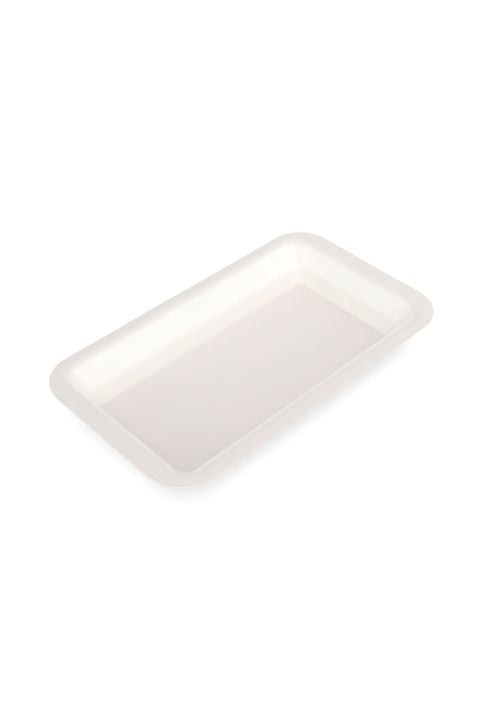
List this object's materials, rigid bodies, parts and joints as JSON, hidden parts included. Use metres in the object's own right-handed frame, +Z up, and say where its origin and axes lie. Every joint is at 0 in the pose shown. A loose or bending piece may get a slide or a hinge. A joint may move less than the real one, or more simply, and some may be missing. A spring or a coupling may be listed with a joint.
{
  "type": "foam meat tray",
  "caption": "Shallow rectangular foam food tray with a flat floor, walls in two bands and a thin flat rim with round corners.",
  "frame": {"origin": "middle of the flat underside", "axes": "+X along the tray, +Y across it, +Z up out of the open side"},
  "size_m": [0.21, 0.12, 0.025],
  "materials": {
    "foam": "white foamed polystyrene sheet with a smooth, faintly cellular skin and a soft satin sheen"
  },
  "bodies": {
    "root": {"foam_tray": "foam"}
  },
  "joints": []
}
